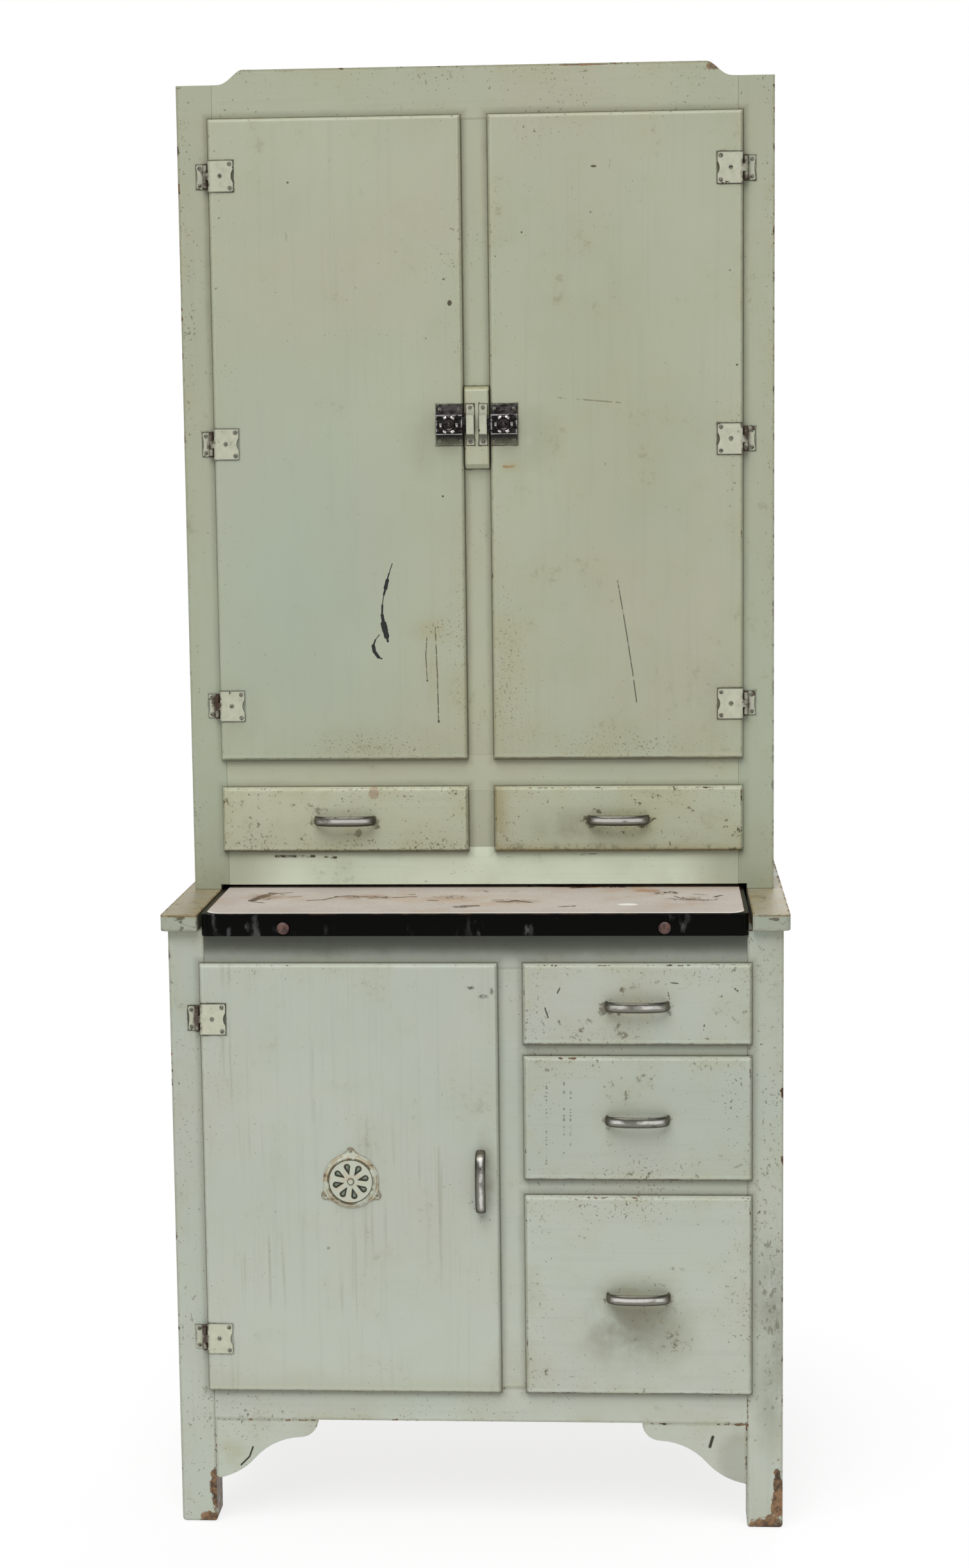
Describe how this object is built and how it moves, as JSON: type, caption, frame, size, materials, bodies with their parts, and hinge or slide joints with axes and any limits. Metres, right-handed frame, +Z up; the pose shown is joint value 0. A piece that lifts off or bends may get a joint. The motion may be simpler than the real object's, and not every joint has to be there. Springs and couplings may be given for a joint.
{
  "type": "bakers cabinet",
  "caption": "Two-part painted wooden kitchen cabinet with latched upper cupboard doors, drawers, a vented lower cupboard and a sliding enamelled worktop.",
  "frame": {"origin": "centre of the bounding box's bottom: floor level, mid width and mid depth", "axes": "+Z up, +X to the viewer's right, -Y out of the front"},
  "size_m": [0.854, 0.5594, 2.012],
  "materials": {
    "green_paint": "sage green paint, aged satin",
    "pale_green_paint": "pale sage green paint, aged satin",
    "bare_wood": "unpainted softwood, aged",
    "painted_hardware": "painted over with the cabinet",
    "steel": "dull",
    "pull_metal": "worn nickel plate",
    "latch_metal": "tarnished nickel plate",
    "vent_paint": "cream paint, rubbed and rusty",
    "enamel": "vitreous enamel, stained, with a black rim",
    "dark_buttons": "dark brown, polished"
  },
  "bodies": {
    "cabinet": {"corner_posts": "pale_green_paint", "base_top_rail": "pale_green_paint", "base_divider": "pale_green_paint", "drawer_rails": "pale_green_paint", "base_bottom_rail": "pale_green_paint", "corner_brackets": "pale_green_paint", "base_sides": "pale_green_paint", "base_back": "bare_wood", "base_floor": "bare_wood", "base_partition": "bare_wood", "base_shelf": "bare_wood", "drawer_runners": "bare_wood", "worktop_ends": "pale_green_paint", "worktop_bearers": "bare_wood", "upper_sides": "green_paint", "upper_roof": "bare_wood", "upper_floor": "bare_wood", "upper_dust_board": "bare_wood", "upper_back": "bare_wood", "upper_stiles": "green_paint", "crest_rail": "green_paint", "centre_stiles": "green_paint", "upper_middle_rail": "green_paint", "upper_bottom_rail": "green_paint", "upper_shelves": "bare_wood", "upper_drawer_guides": "bare_wood", "hinge_frame_leaves": "painted_hardware", "hinge_pins": "steel", "strike_block": "green_paint", "strikes": "painted_hardware", "bullet_catch": "steel"},
    "sliding_top": {"enamel_sheet": "enamel", "sheet_core": "bare_wood", "pull_buttons": "dark_buttons"},
    "left_door": {"upper_left_door": "green_paint", "upper_left_hinge_leaves": "painted_hardware", "left_latch_case": "latch_metal"},
    "right_door": {"upper_right_door": "green_paint", "upper_right_hinge_leaves": "painted_hardware", "right_latch_case": "latch_metal"},
    "cupboard_door": {"lower_door": "pale_green_paint", "lower_hinge_leaves": "painted_hardware", "lower_door_pull": "pull_metal", "vent_plate": "vent_paint"},
    "left_knob": {"left_latch_knob": "latch_metal"},
    "right_knob": {"right_latch_knob": "latch_metal"},
    "left_bolt": {"left_latch_bolt": "latch_metal"},
    "right_bolt": {"right_latch_bolt": "latch_metal"},
    "shutter": {"vent_shutter": "vent_paint"},
    "left_small_drawer": {"upper_left_drawer": "green_paint", "upper_left_pull": "pull_metal"},
    "right_small_drawer": {"upper_right_drawer": "green_paint", "upper_right_pull": "pull_metal"},
    "high_drawer": {"top_drawer": "pale_green_paint", "top_drawer_pull": "pull_metal"},
    "mid_drawer": {"middle_drawer": "pale_green_paint", "middle_drawer_pull": "pull_metal"},
    "low_drawer": {"bottom_drawer": "pale_green_paint", "bottom_drawer_pull": "pull_metal"}
  },
  "joints": [
    {"name": "top_slide", "type": "slide", "parent": "cabinet", "child": "sliding_top", "axis": [0, -1, 0], "range_m": [0, 0.25]},
    {"name": "left_door_hinge", "type": "hinge", "parent": "cabinet", "child": "left_door", "pos_m": [-0.3744, -0.04625, 1.4975], "axis": [0, 0, -1], "range_deg": [0, 160]},
    {"name": "right_door_hinge", "type": "hinge", "parent": "cabinet", "child": "right_door", "pos_m": [0.3744, -0.04625, 1.4975], "axis": [0, 0, 1], "range_deg": [0, 160]},
    {"name": "cupboard_door_hinge", "type": "hinge", "parent": "cabinet", "child": "cupboard_door", "pos_m": [-0.3794, -0.25425, 0.494], "axis": [0, 0, -1], "range_deg": [0, 160]},
    {"name": "left_knob_turn", "type": "hinge", "parent": "left_door", "child": "left_knob", "pos_m": [-0.0383, -0.05935, 1.521], "axis": [0, -1, 0], "range_deg": [-25, 45]},
    {"name": "right_knob_turn", "type": "hinge", "parent": "right_door", "child": "right_knob", "pos_m": [0.0383, -0.05935, 1.521], "axis": [0, 1, 0], "range_deg": [-25, 45]},
    {"name": "left_bolt_slide", "type": "slide", "parent": "left_door", "child": "left_bolt", "axis": [-1, 0, 0], "range_m": [-0.0031, 0.0055]},
    {"name": "right_bolt_slide", "type": "slide", "parent": "right_door", "child": "right_bolt", "axis": [1, 0, 0], "range_m": [-0.0031, 0.0055]},
    {"name": "shutter_turn", "type": "hinge", "parent": "cupboard_door", "child": "shutter", "pos_m": [-0.172, -0.25775, 0.494], "axis": [0, -1, 0], "range_deg": [0, 22.5]},
    {"name": "left_small_drawer_slide", "type": "slide", "parent": "cabinet", "child": "left_small_drawer", "axis": [0, -1, 0], "range_m": [0, 0.24]},
    {"name": "right_small_drawer_slide", "type": "slide", "parent": "cabinet", "child": "right_small_drawer", "axis": [0, -1, 0], "range_m": [0, 0.24]},
    {"name": "high_drawer_slide", "type": "slide", "parent": "cabinet", "child": "high_drawer", "axis": [0, -1, 0], "range_m": [0, 0.4]},
    {"name": "mid_drawer_slide", "type": "slide", "parent": "cabinet", "child": "mid_drawer", "axis": [0, -1, 0], "range_m": [0, 0.4]},
    {"name": "low_drawer_slide", "type": "slide", "parent": "cabinet", "child": "low_drawer", "axis": [0, -1, 0], "range_m": [0, 0.4]}
  ],
  "couplings": [
    {"joint": "left_bolt_slide", "follows": "left_knob_turn", "m_per_rad": 0.00688},
    {"joint": "right_bolt_slide", "follows": "right_knob_turn", "m_per_rad": 0.00688}
  ]
}
